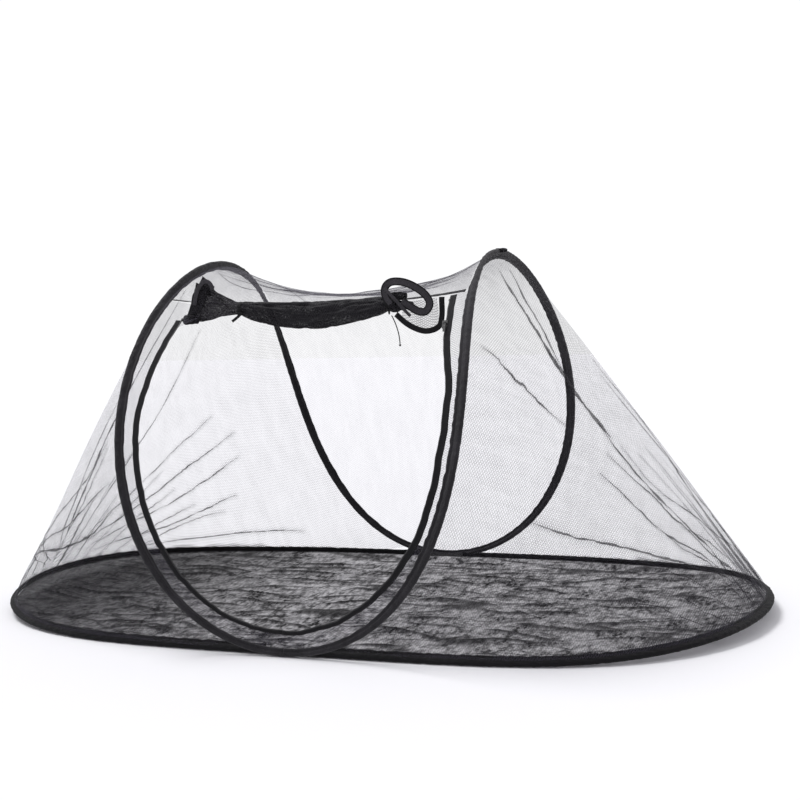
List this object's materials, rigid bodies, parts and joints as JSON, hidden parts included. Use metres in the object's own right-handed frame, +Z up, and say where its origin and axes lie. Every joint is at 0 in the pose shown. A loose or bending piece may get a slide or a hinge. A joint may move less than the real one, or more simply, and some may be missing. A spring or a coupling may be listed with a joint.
{
  "type": "screen house",
  "caption": "Pop-up mesh screen house: a spring-wire base loop, a saddle-shaped spring-wire hoop, netting walls and roof, a dark floor and a zipped door rolled up and tied.",
  "frame": {"origin": "on the ground under the middle of the base, halfway between the two feet of the hoop", "axes": "+X along the length, +Y from the door to the back, +Z up"},
  "size_m": [1.8, 1.0304, 0.8024],
  "materials": {
    "spring_wire": "bare spring steel wire",
    "ferrule": "crimped steel tube",
    "binding": "black folded woven binding",
    "netting": "pale grey see-through knitted netting, shown by many fine holes",
    "rolled_netting": "the same netting in many layers",
    "floor": "thin dark crinkled woven floor cloth, slightly see-through",
    "zip_tape": "black woven zip tape",
    "zip_coil": "black nylon zip coil",
    "zip_metal": "dark lacquered zip metal",
    "tie": "black woven tie tape and cord"
  },
  "bodies": {
    "base_right": {"base_wire_right": "spring_wire", "base_binding_right": "binding", "base_ferrule": "ferrule", "foot_joint_front": "binding", "foot_joint_back": "binding", "floor_right": "floor", "end_panel_right": "netting"},
    "hoop_right": {"hoop_wire_right": "spring_wire", "hoop_binding_right": "binding", "hoop_ferrule": "ferrule", "front_strip_right": "netting", "zip_tape_right": "zip_tape", "zip_coil_right": "zip_coil", "zip_stop_right": "zip_metal", "tie_right": "tie", "tie_cord": "tie", "tie_knot": "tie", "door_zip_loop": "zip_tape", "door_edge_tape": "zip_tape", "door_corner": "netting"},
    "hoop_left": {"hoop_wire_left": "spring_wire", "hoop_binding_left": "binding", "front_strip_left": "netting", "zip_tape_left": "zip_tape", "zip_coil_left": "zip_coil", "zip_stop_left": "zip_metal", "tie_left": "tie", "tie_stub_left": "tie", "door_roll": "rolled_netting", "door_bunch": "rolled_netting", "seam_tape": "binding", "back_panel": "netting"},
    "base_left": {"base_wire_left": "spring_wire", "base_binding_left": "binding", "floor_left": "floor", "end_panel_left": "netting"},
    "zip_slider": {"zip_slider": "zip_metal", "zip_slider_staple": "zip_metal"},
    "zip_pull": {"zip_pull": "zip_metal"}
  },
  "joints": [
    {"name": "hoop_right_fold", "type": "hinge", "parent": "base_right", "child": "hoop_right", "pos_m": [0, 0, 0.006], "axis": [0, 1, 0], "range_deg": [0, 59.9], "stiffness_Nm_per_rad": 4, "springref_deg": -57.3, "deforming": ["hoop_wire_right", "hoop_binding_right", "end_panel_right", "front_strip_right", "zip_tape_right", "zip_coil_right", "tie_right", "tie_cord", "door_zip_loop", "door_edge_tape", "door_corner"]},
    {"name": "hoop_left_fold", "type": "hinge", "parent": "hoop_right", "child": "hoop_left", "pos_m": [0, 0, 0.006], "axis": [0, 1, 0], "range_deg": [0, 40.1], "deforming": ["hoop_wire_left", "hoop_binding_left", "front_strip_left", "zip_tape_left", "zip_coil_left", "tie_left", "tie_stub_left", "door_roll", "door_bunch", "seam_tape", "back_panel"]},
    {"name": "base_left_fold", "type": "hinge", "parent": "hoop_left", "child": "base_left", "pos_m": [0, 0, 0.006], "axis": [0, 1, 0], "range_deg": [0, 58], "deforming": ["end_panel_left"]},
    {"name": "zip_slide", "type": "slide", "parent": "hoop_right", "child": "zip_slider", "axis": [0.1217, -0.7138, -0.6897], "range_m": [-0.025, 0.03]},
    {"name": "zip_pull_swing", "type": "hinge", "parent": "zip_slider", "child": "zip_pull", "pos_m": [0.30197, -0.322, 0.65433], "axis": [-0.9911, -0.0499, -0.1232], "range_deg": [0, 150]}
  ],
  "couplings": [
    {"joint": "hoop_left_fold", "follows": "hoop_right_fold", "ratio": 0.66945},
    {"joint": "base_left_fold", "follows": "hoop_right_fold", "ratio": 0.96828}
  ]
}
